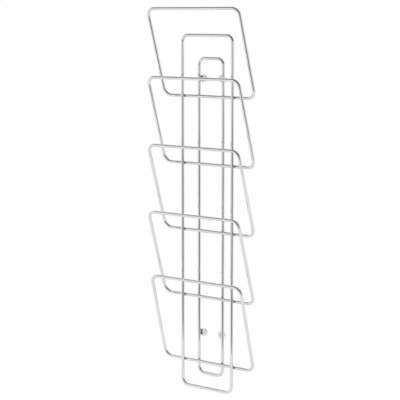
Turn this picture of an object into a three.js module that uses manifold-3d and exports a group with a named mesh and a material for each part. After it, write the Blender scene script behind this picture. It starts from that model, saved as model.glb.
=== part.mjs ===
// Wall-mounted magazine rack: five rounded wire frames, leaning outwards, are welded by their bottom rails
// between two tall wire loops. The narrow loop carries four spacers with screw holes that stand on the wall.
// Millimetres, +Z up, +X to the right as seen from the front, and the wall is the plane y = 0.
// The origin is at the middle of the four screw holes, on the wall.

import * as THREE from "three";
import { mergeVertices } from "three/addons/utils/BufferGeometryUtils.js";
import Module from "manifold-3d";

const manifold = await Module();
manifold.setup();

// Wire
const WIRE_RADIUS = 3.5;
const WIRE_SIDES = 10;
const CORNER_STEPS = 5;
const CONTACT_GAP = 0.3;

// Pocket frames: widths and heights are between wire centre lines, the height along the slope
const FRAME_NAMES = ["lowest", "lower", "middle", "upper", "top"];
const FRAME_WIDTH = 245.5;
const FRAME_HEIGHT = 201;
const FRAME_CORNER = 18;
const FRAME_LEAN = 18;
const LOWEST_FRAME_LEAN = 15;
const FRAME_PITCH = 149.5;

// Tall loops, between wire centre lines
const WIDE_LOOP_WIDTH = 136;
const WIDE_LOOP_HEIGHT = 789;
const NARROW_LOOP_WIDTH = 65.5;
const NARROW_LOOP_HEIGHT = 708.5;
const LOOP_CORNER = 15;

// Heights above the wide loop's bottom wire
const NARROW_LOOP_BOTTOM = 30;
const LOWEST_RAIL = 57.5;
const LOWER_SPACERS = 122.5;
const UPPER_SPACERS = 694.5;

// Wall spacers
const SPACER_RADIUS = 8;
const SPACER_HOLE_RADIUS = 2.6;
const SPACER_DEPTH = 7;
const SPACER_CHAMFER = 0.6;
const SPACER_INSET = 8;
const SPACER_SIDES = 20;

// Welds
const WELD_RADIUS = 3.9;
const WELD_HALF_THICKNESS = 1.9;
const WELD_CORE_RADIUS = 1.9;
const WELD_SIDES = 10;
const WELD_BANDS = 6;
const FILLET_HALF_LENGTH = 6.2;
const FILLET_REACH = 2.6;
const FILLET_OFFSET = 1.6;

// Places worked out from the above
const WIRE_STEP = 2 * WIRE_RADIUS + CONTACT_GAP;
const NARROW_LOOP_Y = -(SPACER_DEPTH + CONTACT_GAP + WIRE_RADIUS);
const RAIL_Y = NARROW_LOOP_Y - WIRE_STEP;
const WIDE_LOOP_Y = RAIL_Y - WIRE_STEP;
const WIDE_LOOP_BOTTOM_Z = -(LOWER_SPACERS + UPPER_SPACERS) / 2;
const SPACER_X = NARROW_LOOP_WIDTH / 2 - SPACER_INSET;

const chrome = { color: 0xd9dbde, metalness: 1, roughness: 0.08 };
const weldMetal = { color: 0xb4b6ba, metalness: 1, roughness: 0.32 };

const rack = new THREE.Group();

function addPiece(parent, name, geometry, finish) {
  geometry.computeVertexNormals();
  const piece = new THREE.Mesh(geometry, new THREE.MeshStandardMaterial(finish));
  piece.name = name;
  parent.add(piece);
  return piece;
}

// A closed wire loop in the XZ plane: a rounded rectangle with its bottom wire on z = 0, centred on x = 0.
// Each corner is a quarter turn of rings, and the straight wires join the last ring of one to the next.
function wireLoop(width, height, corner) {
  const positions = [];
  const indices = [];
  const toCorner = [[1, 1], [-1, 1], [-1, -1], [1, -1]];
  for (let quarter = 0; quarter < 4; quarter += 1) {
    const [sideX, sideZ] = toCorner[quarter];
    const centreX = sideX * (width / 2 - corner);
    const centreZ = height / 2 + sideZ * (height / 2 - corner);
    for (let step = 0; step <= CORNER_STEPS; step += 1) {
      const bend = (quarter + step / CORNER_STEPS) * Math.PI / 2;
      for (let side = 0; side < WIRE_SIDES; side += 1) {
        const turn = side * 2 * Math.PI / WIRE_SIDES;
        const reach = corner + WIRE_RADIUS * Math.cos(turn);
        positions.push(
          centreX + reach * Math.cos(bend),
          WIRE_RADIUS * Math.sin(turn),
          centreZ + reach * Math.sin(bend),
        );
      }
    }
  }
  const rings = 4 * (CORNER_STEPS + 1);
  for (let ring = 0; ring < rings; ring += 1) {
    const here = ring * WIRE_SIDES;
    const ahead = ((ring + 1) % rings) * WIRE_SIDES;
    for (let side = 0; side < WIRE_SIDES; side += 1) {
      const next = (side + 1) % WIRE_SIDES;
      indices.push(here + side, here + next, ahead + side);
      indices.push(here + next, ahead + next, ahead + side);
    }
  }
  const geometry = new THREE.BufferGeometry();
  geometry.setAttribute("position", new THREE.Float32BufferAttribute(positions, 3));
  geometry.setIndex(indices);
  return geometry;
}

function toSolid(geometry) {
  geometry.deleteAttribute("normal");
  geometry.deleteAttribute("uv");
  const merged = mergeVertices(geometry);
  return new manifold.Manifold(new manifold.Mesh({
    numProp: 3,
    vertProperties: new Float32Array(merged.attributes.position.array),
    triVerts: new Uint32Array(merged.index.array),
  }));
}

function toGeometry(solid) {
  const mesh = solid.getMesh();
  const geometry = new THREE.BufferGeometry();
  geometry.setAttribute("position", new THREE.BufferAttribute(mesh.vertProperties, 3));
  geometry.setIndex(new THREE.BufferAttribute(mesh.triVerts, 1));
  return geometry;
}

// A straight wire through a point, thicker by the contact gap, to cut a weld clear of the real wire
function wireCutter(x, y, z, along) {
  const geometry = new THREE.CylinderGeometry(
    WIRE_RADIUS + CONTACT_GAP, WIRE_RADIUS + CONTACT_GAP, 8 * WIRE_RADIUS, WIRE_SIDES,
  );
  if (along === "x") {
    geometry.rotateZ(Math.PI / 2);
  } else {
    geometry.rotateX(Math.PI / 2);
  }
  geometry.translate(x, y, z);
  return toSolid(geometry);
}

function weldBlob(x, y, z, radiusX, radiusY, radiusZ) {
  const geometry = new THREE.SphereGeometry(1, WELD_SIDES, WELD_BANDS);
  geometry.scale(radiusX, radiusY, radiusZ);
  geometry.translate(x, y, z);
  return toSolid(geometry);
}

// The flash squeezed out around the contact of two crossed wires, one along X and one along Z
function crossingWeld(x, z, railY, loopY) {
  const contactY = (railY + loopY) / 2;
  const core = new THREE.CylinderGeometry(WELD_CORE_RADIUS, WELD_CORE_RADIUS, WIRE_STEP, WELD_SIDES);
  core.translate(x, contactY, z);
  return toGeometry(
    weldBlob(x, contactY, z, WELD_RADIUS, WELD_HALF_THICKNESS, WELD_RADIUS)
      .subtract(wireCutter(x, railY, z, "x"))
      .subtract(wireCutter(x, loopY, z, "z"))
      .subtract(toSolid(core)),
  );
}

// A fillet between the narrow loop's wire and a spacer's front face, on the side of the screw hole
function spacerWeld(side, z) {
  const wireX = side * NARROW_LOOP_WIDTH / 2;
  const spacer = new THREE.BoxGeometry(4 * SPACER_RADIUS, SPACER_DEPTH, 4 * SPACER_RADIUS);
  spacer.translate(side * SPACER_X, -SPACER_DEPTH / 2 - CONTACT_GAP, z);
  const outerHalf = new THREE.BoxGeometry(4 * WIRE_RADIUS, 4 * WIRE_RADIUS, 4 * FILLET_HALF_LENGTH);
  outerHalf.translate(wireX + side * 2 * WIRE_RADIUS, NARROW_LOOP_Y + WIRE_RADIUS, z);
  const filletX = wireX - side * FILLET_OFFSET;
  return toGeometry(
    weldBlob(filletX, -SPACER_DEPTH - CONTACT_GAP, z, FILLET_REACH, FILLET_REACH, FILLET_HALF_LENGTH)
      .subtract(wireCutter(wireX, NARROW_LOOP_Y, z, "z"))
      .subtract(toSolid(spacer))
      .subtract(toSolid(outerHalf)),
  );
}

// A turned ring standing on the wall, with chamfered rims and a clear hole for the wall screw
function wallSpacer() {
  const inner = SPACER_HOLE_RADIUS;
  const outer = SPACER_RADIUS;
  const chamfer = SPACER_CHAMFER;
  const profile = [
    [inner, 0],
    [outer, 0],
    [outer, SPACER_DEPTH - chamfer],
    [outer - chamfer, SPACER_DEPTH],
    [inner + chamfer, SPACER_DEPTH],
    [inner, SPACER_DEPTH - chamfer],
    [inner, 0],
  ];
  const points = profile.map(([radius, height]) => new THREE.Vector2(radius, height));
  const turned = new THREE.LatheGeometry(points, SPACER_SIDES);
  turned.rotateX(Math.PI);
  turned.deleteAttribute("normal");
  turned.deleteAttribute("uv");
  return mergeVertices(turned);
}

// Tall loops
const wideLoop = addPiece(
  rack, "wide_back_loop", wireLoop(WIDE_LOOP_WIDTH, WIDE_LOOP_HEIGHT, LOOP_CORNER), chrome,
);
wideLoop.position.set(0, WIDE_LOOP_Y, WIDE_LOOP_BOTTOM_Z);

const narrowLoop = addPiece(
  rack, "narrow_back_loop", wireLoop(NARROW_LOOP_WIDTH, NARROW_LOOP_HEIGHT, LOOP_CORNER), chrome,
);
narrowLoop.position.set(0, NARROW_LOOP_Y, WIDE_LOOP_BOTTOM_Z + NARROW_LOOP_BOTTOM);

// Pocket frames, each with its four crossing welds
const crossings = [
  { loop: "wide_left", x: -WIDE_LOOP_WIDTH / 2, loopY: WIDE_LOOP_Y },
  { loop: "wide_right", x: WIDE_LOOP_WIDTH / 2, loopY: WIDE_LOOP_Y },
  { loop: "narrow_left", x: -NARROW_LOOP_WIDTH / 2, loopY: NARROW_LOOP_Y },
  { loop: "narrow_right", x: NARROW_LOOP_WIDTH / 2, loopY: NARROW_LOOP_Y },
];

FRAME_NAMES.forEach((place, index) => {
  const railZ = WIDE_LOOP_BOTTOM_Z + LOWEST_RAIL + index * FRAME_PITCH;
  const lean = index === 0 ? LOWEST_FRAME_LEAN : FRAME_LEAN;
  const frame = addPiece(
    rack, `${place}_pocket_frame`, wireLoop(FRAME_WIDTH, FRAME_HEIGHT, FRAME_CORNER), chrome,
  );
  frame.position.set(0, RAIL_Y, railZ);
  frame.rotation.x = THREE.MathUtils.degToRad(lean);
  for (const { loop, x, loopY } of crossings) {
    addPiece(rack, `${place}_rail_weld_${loop}`, crossingWeld(x, railZ, RAIL_Y, loopY), weldMetal);
  }
});

// Wall spacers, each with its fillet weld
for (const [height, distance] of [["lower", LOWER_SPACERS], ["upper", UPPER_SPACERS]]) {
  for (const [hand, side] of [["left", -1], ["right", 1]]) {
    const z = WIDE_LOOP_BOTTOM_Z + distance;
    const spacer = addPiece(rack, `${height}_${hand}_wall_spacer`, wallSpacer(), chrome);
    spacer.position.set(side * SPACER_X, 0, z);
    addPiece(rack, `${height}_${hand}_spacer_weld`, spacerWeld(side, z), weldMetal);
  }
}

export default rack;
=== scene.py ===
"""Looks of a wall-mounted magazine rack made of chrome-plated steel wire.

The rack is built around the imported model, in metres: +Z is up, the wall is the plane y = 0 and the
front faces -Y. Bent wires, weld flash, wall spacers and fillet welds are each grown by one Geometry
Nodes tree, then made plain meshes.
"""

import math

import bpy
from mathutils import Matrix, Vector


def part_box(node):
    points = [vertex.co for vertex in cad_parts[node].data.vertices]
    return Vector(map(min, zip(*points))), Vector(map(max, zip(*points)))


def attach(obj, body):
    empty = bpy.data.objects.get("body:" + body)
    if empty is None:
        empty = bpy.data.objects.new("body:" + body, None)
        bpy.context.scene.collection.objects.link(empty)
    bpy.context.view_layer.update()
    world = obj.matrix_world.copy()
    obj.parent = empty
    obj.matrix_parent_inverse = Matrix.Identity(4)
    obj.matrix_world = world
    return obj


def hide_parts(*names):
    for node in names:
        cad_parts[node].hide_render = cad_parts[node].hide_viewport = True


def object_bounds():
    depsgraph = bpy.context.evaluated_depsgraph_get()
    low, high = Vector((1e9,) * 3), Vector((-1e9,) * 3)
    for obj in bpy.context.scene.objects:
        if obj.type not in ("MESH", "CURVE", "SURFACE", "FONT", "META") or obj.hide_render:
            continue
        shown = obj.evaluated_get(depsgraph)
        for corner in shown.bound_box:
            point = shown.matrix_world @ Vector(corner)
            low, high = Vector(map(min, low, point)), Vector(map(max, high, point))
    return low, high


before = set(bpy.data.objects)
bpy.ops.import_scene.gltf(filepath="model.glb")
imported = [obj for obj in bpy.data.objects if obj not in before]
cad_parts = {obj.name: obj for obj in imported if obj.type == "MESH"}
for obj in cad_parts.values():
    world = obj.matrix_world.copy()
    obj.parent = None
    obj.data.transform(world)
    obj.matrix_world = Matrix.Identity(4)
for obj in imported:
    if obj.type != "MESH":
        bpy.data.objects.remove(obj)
cad_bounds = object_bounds()

# Wire
WIRE_RADIUS = 0.0035
WIRE_SIDES = 24
RING_SPACING = 0.0015
LOOP_CORNER = 0.015
FRAME_CORNER = 0.018
CORNER_STEPS = 24
BUTT_WELD_SWELL = 0.09
BUTT_WELD_HALF_LENGTH = 0.0022
WAVER_SWING = 0.00024
WAVER_LENGTH = 0.07

# Pocket frames
FRAME_PLACES = ("lowest", "lower", "middle", "upper", "top")
FRAME_SLOPE_HEIGHT = 0.201
FRAME_LEAN = math.radians(18)
LOWEST_FRAME_LEAN = math.radians(15)

# Crossing welds
FLASH_RADIUS = 0.0040
FLASH_HALF_THICKNESS = 0.0021
FLASH_SEGMENTS = 40
FLASH_RINGS = 24
FLASH_LUMP_SWING = 0.0007
FLASH_LUMP_LENGTH = 0.0017

# Wall spacers
SPACER_OUTER_RADIUS = 0.008
SPACER_HOLE_RADIUS = 0.0026
SPACER_EDGE_RADIUS = 0.0005
SPACER_EDGE_STEPS = 5
SPACER_SEGMENTS = 96

# Fillet welds beside the wall spacers
FILLET_LENGTH = 0.0128
FILLET_RADIUS = 0.0024
FILLET_STEPS = 90
FILLET_INSET = 0.0024
FILLET_RIPPLE_PITCH = 0.0011
FILLET_RIPPLE_DEPTH = 0.09
FILLET_RUN_OUT_POWER = 4.0
# The square of the share of the bead's width that is left at each end
FILLET_TIP = 0.002

# Chrome on drawn wire
CHROME_COLOURS = ("#D6D7DA", "#E3E4E5")
CHROME_EDGE_TINT = 0.74
CHROME_ROUGHNESS = (0.02, 0.06)
PLATING_PATCH = 0.09
SMUDGE_PATCH = 0.03
SMUDGE_RANGE = (0.4, 0.75)
DIE_LINE_WIDTH = 0.0005
DIE_LINE_LENGTH = 0.04
DIE_LINE_DEPTH = 0.00002
DIE_LINE_STRENGTH = 0.35

# Plated weld flash. Its dark greys are partly the thin plating and partly painted shade of the
# crevices where the wires cross
FLASH_AND_CREVICE_SHADE_COLOURS = ("#6F6D6A", "#A9A9A8")
FLASH_ROUGHNESS = (0.28, 0.5)
CRUST_GRAIN = 0.0008
CRUST_DEPTH = 0.00015
CRUST_STRENGTH = 0.5

# Chrome on turned steel
TURNED_COLOURS = ("#D0D1D4", "#E0E1E2")
TURNED_ROUGHNESS = (0.1, 0.24)
TURNED_PATCH = 0.006
TOOL_RING_PITCH = 0.0004
TOOL_RING_DEPTH = 0.00003
TOOL_RING_STRENGTH = 0.25
# A wave texture turns through this many radians in each unit of length at scale 1
WAVE_RATE = 20

# Camera
CAMERA_PLACE = (1.7655, -2.3713, 0.4245)
CAMERA_PITCH = math.radians(7.855)
CAMERA_TURN = math.radians(37.271)
CAMERA_LENS = 120.83
SENSOR_WIDTH = 36
# Level direction from the camera's end of the studio to its far end
AWAY = (-math.sin(CAMERA_TURN), math.cos(CAMERA_TURN))

# Studio boards
BOARD_COLOUR = "#F4F4F4"
BOARD_ROUGHNESS = 0.9
FLOOR_DROP = 0.2
FLOOR_FRONT = 1.2
FLOOR_BACK = 5.0
FLOOR_WIDTH = 10.0
CARD_ASIDE = 1.3
CARD_LENGTH = 4.0
CARD_TOP = 0.67

# Brightness of the background, of the light, and of the room that the chrome mirrors
SEEN_LEVEL = 1.0
LIGHT_LEVEL = 1.12
WALL_LEVEL = 1.0
ROOM_LEVEL = 0.2
HORIZON_LEVEL = 0.62
# Soft edges in the mirrored room, each by how far a direction points AWAY
SIDE_WALLS = (-0.95, -0.35)
BACK_WALL = (0.0, 0.5)
# The same, by how far a direction points up
WALL_TOP = (0.1, 0.35)
HORIZON = (-0.12, -0.02)

# Kinds of tree input
FLOAT = "NodeSocketFloat"
VECTOR = "NodeSocketVector"

# A Mix node's sockets share names between kinds of data, so they are taken by number
FLOAT_A, FLOAT_B = 2, 3
COLOUR_A, COLOUR_B, COLOUR_RESULT = 6, 7, 2


def linear_colour(code):
    """The linear RGBA of an sRGB hex colour such as '#C4C6C9'."""
    channels = [int(code[place:place + 2], 16) / 255 for place in (1, 3, 5)]
    return [c / 12.92 if c <= 0.04045 else ((c + 0.055) / 1.055) ** 2.4 for c in channels] + [1.0]


def add_node(tree, kind, inputs=None, **settings):
    """Adds one node. Its inputs, by name or number, take a value or another node's output."""
    node = tree.nodes.new(kind)
    for name, value in settings.items():
        setattr(node, name, value)
    for name, value in (inputs or {}).items():
        if isinstance(value, bpy.types.NodeSocket):
            tree.links.new(value, node.inputs[name])
        else:
            node.inputs[name].default_value = value
    return node


def new_tree(name, **sizes):
    """A Geometry Nodes tree with named size inputs and a material input, and those inputs."""
    tree = bpy.data.node_groups.new(name, "GeometryNodeTree")
    tree.interface.new_socket("Geometry", in_out="OUTPUT", socket_type="NodeSocketGeometry")
    for size, kind in sizes.items():
        tree.interface.new_socket(size, in_out="INPUT", socket_type=kind)
    tree.interface.new_socket("Material", in_out="INPUT", socket_type="NodeSocketMaterial")
    return tree, add_node(tree, "NodeGroupInput").outputs


def finish_tree(tree, geometry, sizes):
    """Ends a tree with smooth shading, real geometry and its material."""
    smooth = add_node(tree, "GeometryNodeSetShadeSmooth", {"Geometry": geometry})
    realized = add_node(tree, "GeometryNodeRealizeInstances", {"Geometry": smooth.outputs[0]})
    painted = add_node(
        tree, "GeometryNodeSetMaterial",
        {"Geometry": realized.outputs[0], "Material": sizes["Material"]},
    )
    add_node(tree, "NodeGroupOutput", {"Geometry": painted.outputs[0]})


def wander_surface(tree, geometry, patch, swing):
    """Shifts each point by soft noise: by up to half the swing, and alike within a patch."""
    place = add_node(tree, "GeometryNodeInputPosition").outputs[0]
    noise = add_node(
        tree, "ShaderNodeTexNoise",
        {"Vector": place, "Scale": 1 / patch, "Detail": 1.0}, noise_dimensions="3D",
    )
    centred = add_node(
        tree, "ShaderNodeVectorMath",
        {0: noise.outputs["Color"], 1: (-0.5, -0.5, -0.5)}, operation="ADD",
    )
    offset = add_node(
        tree, "ShaderNodeVectorMath", {0: centred.outputs[0], "Scale": swing}, operation="SCALE",
    )
    return add_node(
        tree, "GeometryNodeSetPosition", {"Geometry": geometry, "Offset": offset.outputs[0]},
    )


def bent_wire_tree():
    """A closed rounded rectangle of wire that stands on the middle of its bottom rail.

    It leans forward about that rail.
    """
    tree, sizes = new_tree(
        "bent_wire",
        Width=FLOAT, Height=FLOAT, Corner=FLOAT, Radius=FLOAT, Lean=FLOAT, Foot=VECTOR,
    )
    outline = add_node(
        tree, "GeometryNodeCurvePrimitiveQuadrilateral",
        {"Width": sizes["Width"], "Height": sizes["Height"]}, mode="RECTANGLE",
    )
    rounded = add_node(
        tree, "GeometryNodeFilletCurve",
        {"Curve": outline.outputs[0], "Count": CORNER_STEPS, "Radius": sizes["Corner"]},
        mode="POLY",
    )
    path = add_node(
        tree, "GeometryNodeResampleCurve",
        {"Curve": rounded.outputs[0], "Length": RING_SPACING}, mode="LENGTH",
    )
    length_along = add_node(tree, "GeometryNodeSplineParameter").outputs["Length"]
    marked_path = add_node(tree, "GeometryNodeCaptureAttribute", {"Geometry": path.outputs[0]})
    marked_path.capture_items.new("FLOAT", "Along")
    tree.links.new(length_along, marked_path.inputs["Along"])
    circle = add_node(
        tree, "GeometryNodeCurvePrimitiveCircle",
        {"Resolution": WIRE_SIDES, "Radius": sizes["Radius"]}, mode="RADIUS",
    )
    place = add_node(tree, "GeometryNodeInputPosition").outputs[0]
    marked_circle = add_node(
        tree, "GeometryNodeCaptureAttribute", {"Geometry": circle.outputs[0]},
    )
    marked_circle.capture_items.new("VECTOR", "Around")
    tree.links.new(place, marked_circle.inputs["Around"])

    # The butt weld that closed the wire: a slight swelling in the middle of the bottom rail
    half_down = add_node(
        tree, "ShaderNodeMath", {0: sizes["Height"], 1: -0.5}, operation="MULTIPLY",
    )
    weld_centre = add_node(tree, "ShaderNodeCombineXYZ", {"Y": half_down.outputs[0]})
    distance = add_node(
        tree, "ShaderNodeVectorMath", {0: place, 1: weld_centre.outputs[0]}, operation="DISTANCE",
    )
    swell = add_node(
        tree, "ShaderNodeMapRange",
        {
            "Value": distance.outputs["Value"],
            "From Max": BUTT_WELD_HALF_LENGTH,
            "To Min": 1 + BUTT_WELD_SWELL,
            "To Max": 1.0,
        },
        interpolation_type="SMOOTHERSTEP",
    )
    tube = add_node(
        tree, "GeometryNodeCurveToMesh",
        {
            "Curve": marked_path.outputs["Geometry"],
            "Profile Curve": marked_circle.outputs["Geometry"],
            "Scale": swell.outputs[0],
        },
    )

    # Place on the wire: across its section in X and Y, and along it in Z
    around = add_node(tree, "ShaderNodeSeparateXYZ", {0: marked_circle.outputs["Around"]})
    wire_place = add_node(
        tree, "ShaderNodeCombineXYZ",
        {
            "X": around.outputs["X"],
            "Y": around.outputs["Y"],
            "Z": marked_path.outputs["Along"],
        },
    )
    mapped = add_node(
        tree, "GeometryNodeStoreNamedAttribute",
        {"Geometry": tube.outputs[0], "Name": "wire_place", "Value": wire_place.outputs[0]},
        data_type="FLOAT_VECTOR", domain="POINT",
    )

    # Straightened wire is never quite straight
    wavered = wander_surface(tree, mapped.outputs[0], WAVER_LENGTH, WAVER_SWING)

    half_up = add_node(
        tree, "ShaderNodeMath", {0: sizes["Height"], 1: 0.5}, operation="MULTIPLY",
    )
    lift = add_node(tree, "ShaderNodeCombineXYZ", {"Y": half_up.outputs[0]})
    lifted = add_node(
        tree, "GeometryNodeTransform",
        {"Geometry": wavered.outputs[0], "Translation": lift.outputs[0]},
    )
    tilt = add_node(tree, "ShaderNodeMath", {0: sizes["Lean"], 1: math.pi / 2}, operation="ADD")
    turn = add_node(tree, "ShaderNodeCombineXYZ", {"X": tilt.outputs[0]})
    stood = add_node(
        tree, "GeometryNodeTransform",
        {
            "Geometry": lifted.outputs[0],
            "Translation": sizes["Foot"],
            "Rotation": turn.outputs[0],
        },
    )
    finish_tree(tree, stood.outputs[0], sizes)
    return tree


def rail_welds_tree():
    """The flash around one rail's four crossings: a lumpy collar squeezed out at each contact.

    Two pairs of uprights share the rail, the wide pair in front of it and the narrow pair behind.
    """
    tree, sizes = new_tree(
        "rail_welds", WideSpread=FLOAT, NarrowSpread=FLOAT, RailToContact=FLOAT, Rail=VECTOR,
    )
    ball = add_node(
        tree, "GeometryNodeMeshUVSphere",
        {"Segments": FLASH_SEGMENTS, "Rings": FLASH_RINGS, "Radius": 1.0},
    )
    flattened = add_node(
        tree, "GeometryNodeTransform",
        {
            "Geometry": ball.outputs["Mesh"],
            "Scale": (FLASH_RADIUS, FLASH_RADIUS, FLASH_HALF_THICKNESS),
        },
    )
    collar = add_node(
        tree, "GeometryNodeTransform",
        {"Geometry": flattened.outputs[0], "Rotation": (math.pi / 2, 0, 0)},
    )
    contacts = add_node(tree, "GeometryNodeJoinGeometry")
    for spread, side in ((sizes["WideSpread"], -1.0), (sizes["NarrowSpread"], 1.0)):
        half = add_node(tree, "ShaderNodeMath", {0: spread, 1: 0.5}, operation="MULTIPLY")
        depth = add_node(
            tree, "ShaderNodeMath", {0: sizes["RailToContact"], 1: side}, operation="MULTIPLY",
        )
        for hand in (-1.0, 1.0):
            across = add_node(
                tree, "ShaderNodeMath", {0: half.outputs[0], 1: hand}, operation="MULTIPLY",
            )
            contact = add_node(
                tree, "ShaderNodeCombineXYZ", {"X": across.outputs[0], "Y": depth.outputs[0]},
            )
            place = add_node(
                tree, "ShaderNodeVectorMath",
                {0: contact.outputs[0], 1: sizes["Rail"]}, operation="ADD",
            )
            point = add_node(tree, "GeometryNodePoints", {"Position": place.outputs[0]})
            tree.links.new(point.outputs[0], contacts.inputs[0])
    collars = add_node(
        tree, "GeometryNodeInstanceOnPoints",
        {"Points": contacts.outputs[0], "Instance": collar.outputs[0]},
    )
    solid = add_node(tree, "GeometryNodeRealizeInstances", {"Geometry": collars.outputs[0]})
    lumpy = wander_surface(tree, solid.outputs[0], FLASH_LUMP_LENGTH, FLASH_LUMP_SWING)
    finish_tree(tree, lumpy.outputs[0], sizes)
    return tree


def turned_ring_tree():
    """A turned ring along Y with softly broken edges, its back face on the wall."""
    tree, sizes = new_tree("turned_ring", Outer=FLOAT, Hole=FLOAT, Depth=FLOAT, Back=VECTOR)
    radii = {0: sizes["Outer"], 1: sizes["Hole"]}
    both_radii = add_node(tree, "ShaderNodeMath", radii, operation="ADD")
    middle = add_node(
        tree, "ShaderNodeMath", {0: both_radii.outputs[0], 1: 0.5}, operation="MULTIPLY",
    )
    wall = add_node(tree, "ShaderNodeMath", radii, operation="SUBTRACT")
    path = add_node(
        tree, "GeometryNodeCurvePrimitiveCircle",
        {"Resolution": SPACER_SEGMENTS, "Radius": middle.outputs[0]}, mode="RADIUS",
    )
    upright = add_node(
        tree, "GeometryNodeSetCurveNormal", {"Curve": path.outputs[0]}, mode="Z_UP",
    )
    section = add_node(
        tree, "GeometryNodeCurvePrimitiveQuadrilateral",
        {"Width": wall.outputs[0], "Height": sizes["Depth"]}, mode="RECTANGLE",
    )
    softened = add_node(
        tree, "GeometryNodeFilletCurve",
        {
            "Curve": section.outputs[0],
            "Count": SPACER_EDGE_STEPS,
            "Radius": SPACER_EDGE_RADIUS,
        },
        mode="POLY",
    )
    ring = add_node(
        tree, "GeometryNodeCurveToMesh",
        {"Curve": upright.outputs[0], "Profile Curve": softened.outputs[0], "Scale": 1.0},
    )
    place = add_node(tree, "GeometryNodeInputPosition").outputs[0]
    marked = add_node(
        tree, "GeometryNodeStoreNamedAttribute",
        {"Geometry": ring.outputs[0], "Name": "turned_place", "Value": place},
        data_type="FLOAT_VECTOR", domain="POINT",
    )
    half_forward = add_node(
        tree, "ShaderNodeMath", {0: sizes["Depth"], 1: -0.5}, operation="MULTIPLY",
    )
    forward = add_node(tree, "ShaderNodeCombineXYZ", {"Y": half_forward.outputs[0]})
    centre = add_node(
        tree, "ShaderNodeVectorMath", {0: forward.outputs[0], 1: sizes["Back"]}, operation="ADD",
    )
    stood = add_node(
        tree, "GeometryNodeTransform",
        {
            "Geometry": marked.outputs[0],
            "Translation": centre.outputs[0],
            "Rotation": (math.pi / 2, 0, 0),
        },
    )
    finish_tree(tree, stood.outputs[0], sizes)
    return tree


def fillet_weld_tree():
    """A short upright weld bead, rippled where each puddle froze over the last.

    It runs out at both ends.
    """
    tree, sizes = new_tree("fillet_weld", Length=FLOAT, Radius=FLOAT, Centre=VECTOR)
    ends = {}
    for end, share in (("Start", -0.5), ("End", 0.5)):
        height = add_node(
            tree, "ShaderNodeMath", {0: sizes["Length"], 1: share}, operation="MULTIPLY",
        )
        ends[end] = add_node(tree, "ShaderNodeCombineXYZ", {"Z": height.outputs[0]}).outputs[0]
    line = add_node(tree, "GeometryNodeCurvePrimitiveLine", ends)
    path = add_node(
        tree, "GeometryNodeResampleCurve",
        {"Curve": line.outputs[0], "Count": FILLET_STEPS}, mode="COUNT",
    )
    along = add_node(tree, "GeometryNodeSplineParameter").outputs

    # From -1 at one end to 1 at the other, raised to a power that stays flat in the middle
    from_middle = add_node(
        tree, "ShaderNodeMath", {0: along["Factor"], 1: 2.0, 2: -1.0}, operation="MULTIPLY_ADD",
    )
    near_end = add_node(
        tree, "ShaderNodeMath",
        {0: from_middle.outputs[0], 1: FILLET_RUN_OUT_POWER}, operation="POWER",
    )
    left_over = add_node(
        tree, "ShaderNodeMath", {0: 1 + FILLET_TIP, 1: near_end.outputs[0]}, operation="SUBTRACT",
    )
    taper = add_node(tree, "ShaderNodeMath", {0: left_over.outputs[0]}, operation="SQRT")
    phase = add_node(
        tree, "ShaderNodeMath",
        {0: along["Length"], 1: math.tau / FILLET_RIPPLE_PITCH}, operation="MULTIPLY",
    )
    wave = add_node(tree, "ShaderNodeMath", {0: phase.outputs[0]}, operation="SINE")
    ripple = add_node(
        tree, "ShaderNodeMath",
        {0: wave.outputs[0], 1: FILLET_RIPPLE_DEPTH, 2: 1.0}, operation="MULTIPLY_ADD",
    )
    scale = add_node(
        tree, "ShaderNodeMath", {0: taper.outputs[0], 1: ripple.outputs[0]}, operation="MULTIPLY",
    )
    circle = add_node(
        tree, "GeometryNodeCurvePrimitiveCircle",
        {"Resolution": WIRE_SIDES, "Radius": sizes["Radius"]}, mode="RADIUS",
    )
    bead = add_node(
        tree, "GeometryNodeCurveToMesh",
        {
            "Curve": path.outputs[0],
            "Profile Curve": circle.outputs[0],
            "Scale": scale.outputs[0],
            "Fill Caps": True,
        },
    )
    placed = add_node(
        tree, "GeometryNodeTransform",
        {"Geometry": bead.outputs[0], "Translation": sizes["Centre"]},
    )
    finish_tree(tree, placed.outputs[0], sizes)
    return tree


def new_material(name):
    """A material with only its Principled shader and output, its tree, and that shader."""
    material = bpy.data.materials.new(name)
    material.use_nodes = True
    tree = material.node_tree
    tree.nodes.clear()
    shader = add_node(tree, "ShaderNodeBsdfPrincipled")
    add_node(tree, "ShaderNodeOutputMaterial", {"Surface": shader.outputs[0]})
    return material, tree, shader


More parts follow.
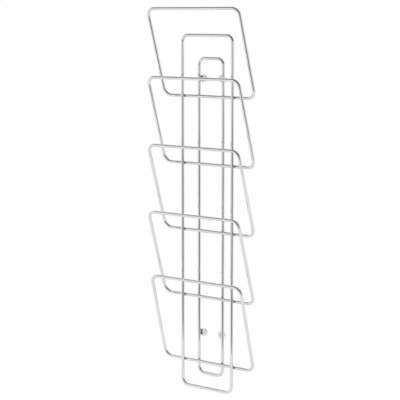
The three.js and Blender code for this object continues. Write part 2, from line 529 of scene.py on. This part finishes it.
def chrome_plated_wire():
    """Bright chrome over nickel on cold-drawn wire: a hard mirror with faint lines along it."""
    material, tree, shader = new_material("chrome_plated_drawn_wire")
    shader.inputs["Metallic"].default_value = 1.0
    # Chromium reflects hardly more at a glancing angle than face on
    shader.inputs["Specular Tint"].default_value = (CHROME_EDGE_TINT,) * 3 + (1.0,)
    wire_place = add_node(
        tree, "ShaderNodeAttribute", attribute_name="wire_place", attribute_type="GEOMETRY",
    ).outputs["Vector"]
    rack_place = add_node(tree, "ShaderNodeTexCoord").outputs["Object"]

    # Plating varies by a few per cent over a hand's width
    plating = add_node(
        tree, "ShaderNodeTexNoise",
        {"Vector": rack_place, "Scale": 1 / PLATING_PATCH, "Detail": 2.0},
    )
    colour = add_node(
        tree, "ShaderNodeMix",
        {
            "Factor": plating.outputs["Fac"],
            COLOUR_A: linear_colour(CHROME_COLOURS[0]),
            COLOUR_B: linear_colour(CHROME_COLOURS[1]),
        },
        data_type="RGBA",
    )
    tree.links.new(colour.outputs[COLOUR_RESULT], shader.inputs["Base Color"])

    # Real die lines are 0.05 mm wide. They are drawn ten times as wide, so that they show
    stretched = add_node(
        tree, "ShaderNodeVectorMath",
        {0: wire_place, 1: (1 / DIE_LINE_WIDTH, 1 / DIE_LINE_WIDTH, 1 / DIE_LINE_LENGTH)},
        operation="MULTIPLY",
    )
    die_lines = add_node(
        tree, "ShaderNodeTexNoise", {"Vector": stretched.outputs[0], "Scale": 1.0, "Detail": 3.0},
    )
    relief = add_node(
        tree, "ShaderNodeBump",
        {
            "Height": die_lines.outputs["Fac"],
            "Strength": DIE_LINE_STRENGTH,
            "Distance": DIE_LINE_DEPTH,
        },
    )
    tree.links.new(relief.outputs[0], shader.inputs["Normal"])

    # Handling leaves soft smudges that dull the mirror a little
    smudges = add_node(
        tree, "ShaderNodeTexNoise",
        {"Vector": rack_place, "Scale": 1 / SMUDGE_PATCH, "Detail": 4.0},
    )
    dulling = add_node(
        tree, "ShaderNodeMapRange",
        {
            "Value": smudges.outputs["Fac"],
            "From Min": SMUDGE_RANGE[0],
            "From Max": SMUDGE_RANGE[1],
            "To Min": CHROME_ROUGHNESS[0],
            "To Max": CHROME_ROUGHNESS[1],
        },
    )
    tree.links.new(dulling.outputs[0], shader.inputs["Roughness"])
    return material


def weld_flash_with_painted_shade():
    """Weld flash under the same plating, which takes thin there: crusted and half dull. Its dark
    grey is partly that thin plating and partly painted shade, standing in for the shaded crevice
    where the wires meet.
    """
    material, tree, shader = new_material("weld_flash_with_painted_shade")
    shader.inputs["Metallic"].default_value = 1.0
    rack_place = add_node(tree, "ShaderNodeTexCoord").outputs["Object"]

    # Frozen spatter about as fine as coarse sand makes the colour, the dullness and the relief
    crust = add_node(
        tree, "ShaderNodeTexNoise",
        {"Vector": rack_place, "Scale": 1 / CRUST_GRAIN, "Detail": 4.0},
    ).outputs["Fac"]
    # The two greys are dark partly for the thin plating and partly as painted shade of the crevices
    # at the crossings
    colour = add_node(
        tree, "ShaderNodeMix",
        {
            "Factor": crust,
            COLOUR_A: linear_colour(FLASH_AND_CREVICE_SHADE_COLOURS[0]),
            COLOUR_B: linear_colour(FLASH_AND_CREVICE_SHADE_COLOURS[1]),
        },
        data_type="RGBA",
    )
    tree.links.new(colour.outputs[COLOUR_RESULT], shader.inputs["Base Color"])
    dulling = add_node(
        tree, "ShaderNodeMapRange",
        {"Value": crust, "To Min": FLASH_ROUGHNESS[0], "To Max": FLASH_ROUGHNESS[1]},
    )
    tree.links.new(dulling.outputs[0], shader.inputs["Roughness"])
    relief = add_node(
        tree, "ShaderNodeBump",
        {"Height": crust, "Strength": CRUST_STRENGTH, "Distance": CRUST_DEPTH},
    )
    tree.links.new(relief.outputs[0], shader.inputs["Normal"])
    return material


def chrome_plated_turning():
    """Chrome over a lathe-turned ring: the tool's rings still show through a softer mirror."""
    material, tree, shader = new_material("chrome_plated_turned_steel")
    shader.inputs["Metallic"].default_value = 1.0
    turned_place = add_node(
        tree, "ShaderNodeAttribute", attribute_name="turned_place", attribute_type="GEOMETRY",
    ).outputs["Vector"]
    rack_place = add_node(tree, "ShaderNodeTexCoord").outputs["Object"]

    # A real feed of about 0.1 mm a turn is drawn four times as coarse, so that it shows
    tool_rings = add_node(
        tree, "ShaderNodeTexWave",
        {
            "Vector": turned_place,
            "Scale": math.tau / (WAVE_RATE * TOOL_RING_PITCH),
            "Distortion": 0.3,
            "Detail": 1.0,
        },
        wave_type="RINGS", rings_direction="Z",
    )
    relief = add_node(
        tree, "ShaderNodeBump",
        {
            "Height": tool_rings.outputs["Fac"],
            "Strength": TOOL_RING_STRENGTH,
            "Distance": TOOL_RING_DEPTH,
        },
    )
    tree.links.new(relief.outputs[0], shader.inputs["Normal"])

    # The plating is a little uneven in colour and shine across the small ring
    plating = add_node(
        tree, "ShaderNodeTexNoise",
        {"Vector": rack_place, "Scale": 1 / TURNED_PATCH, "Detail": 3.0},
    ).outputs["Fac"]
    colour = add_node(
        tree, "ShaderNodeMix",
        {
            "Factor": plating,
            COLOUR_A: linear_colour(TURNED_COLOURS[0]),
            COLOUR_B: linear_colour(TURNED_COLOURS[1]),
        },
        data_type="RGBA",
    )
    tree.links.new(colour.outputs[COLOUR_RESULT], shader.inputs["Base Color"])
    dulling = add_node(
        tree, "ShaderNodeMapRange",
        {"Value": plating, "To Min": TURNED_ROUGHNESS[0], "To Max": TURNED_ROUGHNESS[1]},
    )
    tree.links.new(dulling.outputs[0], shader.inputs["Roughness"])
    return material


def grow_piece(name, tree, material, sizes):
    """Grows one tree with the given sizes, as a plain mesh object at the origin."""
    seed_mesh = bpy.data.meshes.new(name + "_seed")
    seed = bpy.data.objects.new(name + "_seed", seed_mesh)
    bpy.context.scene.collection.objects.link(seed)
    modifier = seed.modifiers.new("grow", "NODES")
    modifier.node_group = tree
    values = {**sizes, "Material": material}
    for socket in tree.interface.items_tree:
        if socket.in_out == "INPUT":
            modifier[socket.identifier] = values[socket.name]
    evaluated = seed.evaluated_get(bpy.context.evaluated_depsgraph_get())
    mesh = bpy.data.meshes.new_from_object(evaluated)
    mesh.name = name
    bpy.data.objects.remove(seed)
    bpy.data.meshes.remove(seed_mesh)
    piece = bpy.data.objects.new(name, mesh)
    bpy.context.scene.collection.objects.link(piece)
    return piece


def hold_piece(piece, slot, *cad_nodes):
    """Fixes a finished piece to the rack in place of its CAD nodes."""
    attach(piece, "root")
    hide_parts(*cad_nodes)


def box_centre(node):
    """The middle of a CAD node's box."""
    low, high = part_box(node)
    return (low + high) / 2


def make_rack():
    """The two back loops, then each pocket frame with its welds, then the spacers with theirs."""
    wire = chrome_plated_wire()
    # The weld flash's dark grey is partly painted shade of the crevices where parts meet
    flash = weld_flash_with_painted_shade()
    turning = chrome_plated_turning()
    wire_tree = bent_wire_tree()
    welds_tree = rail_welds_tree()
    ring_tree = turned_ring_tree()
    bead_tree = fillet_weld_tree()

    def bend_wire(name, height, corner, lean, foot):
        low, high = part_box(name)
        piece = grow_piece(name + "_wire", wire_tree, wire, {
            "Width": high.x - low.x - 2 * WIRE_RADIUS,
            "Height": height,
            "Corner": corner,
            "Radius": WIRE_RADIUS,
            "Lean": lean,
            "Foot": foot,
        })
        hold_piece(piece, "chrome_wire", name)

    for loop in ("wide_back_loop", "narrow_back_loop"):
        low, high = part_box(loop)
        foot = (0, box_centre(loop).y, low.z + WIRE_RADIUS)
        bend_wire(loop, high.z - low.z - 2 * WIRE_RADIUS, LOOP_CORNER, 0.0, foot)

    wide_y = box_centre("wide_back_loop").y
    narrow_y = box_centre("narrow_back_loop").y
    rail_y = (wide_y + narrow_y) / 2
    for place in FRAME_PLACES:
        welds = {
            spot: f"{place}_rail_weld_{spot}"
            for spot in ("wide_left", "wide_right", "narrow_left", "narrow_right")
        }
        rail = (0, rail_y, box_centre(welds["wide_left"]).z)
        lean = LOWEST_FRAME_LEAN if place == "lowest" else FRAME_LEAN
        bend_wire(f"{place}_pocket_frame", FRAME_SLOPE_HEIGHT, FRAME_CORNER, lean, rail)
        # The rail welds wear the flash's dark grey, which partly paints the shade in the crevices at
        # the crossings
        piece = grow_piece(f"{place}_rail_welds", welds_tree, flash, {
            "WideSpread": 2 * box_centre(welds["wide_right"]).x,
            "NarrowSpread": 2 * box_centre(welds["narrow_right"]).x,
            "RailToContact": (narrow_y - wide_y) / 4,
            "Rail": rail,
        })
        hold_piece(piece, "weld", *welds.values())

    wire_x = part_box("narrow_back_loop")[1].x - WIRE_RADIUS
    for height in ("lower", "upper"):
        for hand, side in (("left", -1), ("right", 1)):
            spacer = f"{height}_{hand}_wall_spacer"
            low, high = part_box(spacer)
            centre = box_centre(spacer)
            piece = grow_piece(spacer + "_ring", ring_tree, turning, {
                "Outer": SPACER_OUTER_RADIUS,
                "Hole": SPACER_HOLE_RADIUS,
                "Depth": high.y - low.y,
                "Back": (centre.x, high.y, centre.z),
            })
            hold_piece(piece, "wall_spacer", spacer)
            weld = f"{height}_{hand}_spacer_weld"
            # The bead wears the same dark grey, which partly paints the shade beside the wire at the
            # spacer
            piece = grow_piece(weld + "_bead", bead_tree, flash, {
                "Length": FILLET_LENGTH,
                "Radius": FILLET_RADIUS,
                "Centre": (side * (wire_x - FILLET_INSET), low.y, centre.z),
            })
            hold_piece(piece, "weld", weld)


def stage_board(name, width, length, place, rotation, material):
    """A flat board of the studio, which isn't part of the rack."""
    bpy.ops.mesh.primitive_plane_add(size=1, location=place, rotation=rotation)
    board = bpy.context.object
    board.name = name
    board.scale = (width, length, 1)
    board.data.materials.append(material)
    return board


def make_stage():
    """A white floor that ends in front of the rack, and on the left a card for the chrome.

    The card is white too, and only mirrors see it.
    """
    material, _, shader = new_material("white_studio_board")
    shader.inputs["Base Color"].default_value = linear_colour(BOARD_COLOUR)
    shader.inputs["Roughness"].default_value = BOARD_ROUGHNESS
    floor_z = cad_bounds[0][2] - FLOOR_DROP
    floor_middle = (FLOOR_BACK - FLOOR_FRONT) / 2
    stage_board(
        "floor", FLOOR_WIDTH, FLOOR_BACK + FLOOR_FRONT,
        (AWAY[0] * floor_middle, AWAY[1] * floor_middle, floor_z), (0, 0, CAMERA_TURN), material,
    )
    card = stage_board(
        "left_card", CARD_LENGTH, CARD_TOP - floor_z,
        (-AWAY[1] * CARD_ASIDE, AWAY[0] * CARD_ASIDE, (CARD_TOP + floor_z) / 2),
        (math.pi / 2, 0, CAMERA_TURN + math.pi / 2), material,
    )
    card.visible_camera = False
    card.visible_diffuse = False
    card.visible_shadow = False


def make_world():
    """Even white light and background, with a room that only the chrome mirrors.

    The room has white walls and a dim ceiling. It is dim at the camera's end, where a paler band
    lies along the horizon.
    """
    world = bpy.data.worlds.new("studio")
    world.use_nodes = True
    tree = world.node_tree
    tree.nodes.clear()
    direction = add_node(tree, "ShaderNodeTexCoord").outputs["Generated"]
    up = add_node(tree, "ShaderNodeSeparateXYZ", {0: direction}).outputs["Z"]
    away = add_node(
        tree, "ShaderNodeVectorMath", {0: direction, 1: (*AWAY, 0)}, operation="DOT_PRODUCT",
    ).outputs["Value"]
    past_front, short_of_back, above_walls, above_floor = (
        add_node(
            tree, "ShaderNodeMapRange",
            {"Value": value, "From Min": start, "From Max": end, "To Min": first, "To Max": last},
            interpolation_type="SMOOTHSTEP",
        ).outputs[0]
        for value, (start, end), (first, last) in (
            (away, SIDE_WALLS, (0, 1)),
            (away, BACK_WALL, (1, 0)),
            (up, WALL_TOP, (0, 1)),
            (up, HORIZON, (0, 1)),
        )
    )
    ceiling = add_node(
        tree, "ShaderNodeMath", {0: short_of_back, 1: above_walls}, operation="MULTIPLY",
    )
    below_ceiling = add_node(
        tree, "ShaderNodeMath", {0: 1, 1: ceiling.outputs[0]}, operation="SUBTRACT",
    )
    walls = add_node(
        tree, "ShaderNodeMath", {0: past_front, 1: below_ceiling.outputs[0]}, operation="MULTIPLY",
    )
    below_wall_top = add_node(
        tree, "ShaderNodeMath", {0: 1, 1: above_walls}, operation="SUBTRACT",
    )
    band = add_node(
        tree, "ShaderNodeMath",
        {0: above_floor, 1: below_wall_top.outputs[0]}, operation="MULTIPLY",
    )
    front = add_node(
        tree, "ShaderNodeMix",
        {"Factor": band.outputs[0], FLOAT_A: ROOM_LEVEL, FLOAT_B: HORIZON_LEVEL},
        data_type="FLOAT",
    )
    room = add_node(
        tree, "ShaderNodeMix",
        {"Factor": walls.outputs[0], FLOAT_A: front.outputs[0], FLOAT_B: WALL_LEVEL},
        data_type="FLOAT",
    )
    ray = add_node(tree, "ShaderNodeLightPath").outputs
    unseen = add_node(
        tree, "ShaderNodeMix",
        {"Factor": ray["Is Glossy Ray"], FLOAT_A: LIGHT_LEVEL, FLOAT_B: room.outputs[0]},
        data_type="FLOAT",
    )
    strength = add_node(
        tree, "ShaderNodeMix",
        {"Factor": ray["Is Camera Ray"], FLOAT_A: unseen.outputs[0], FLOAT_B: SEEN_LEVEL},
        data_type="FLOAT",
    )
    background = add_node(
        tree, "ShaderNodeBackground",
        {"Color": (1, 1, 1, 1), "Strength": strength.outputs[0]},
    )
    add_node(tree, "ShaderNodeOutputWorld", {"Surface": background.outputs[0]})
    bpy.context.scene.world = world


def make_camera():
    """The camera, in front of the rack and to its right, looking slightly down on it."""
    lens = bpy.data.cameras.new("camera")
    lens.lens = CAMERA_LENS
    lens.sensor_width = SENSOR_WIDTH
    camera = bpy.data.objects.new("camera", lens)
    camera.location = CAMERA_PLACE
    camera.rotation_euler = (math.pi / 2 - CAMERA_PITCH, 0, CAMERA_TURN)
    bpy.context.scene.collection.objects.link(camera)
    bpy.context.scene.camera = camera


make_rack()
make_stage()
make_world()
make_camera()
bpy.context.scene.view_settings.view_transform = "Standard"
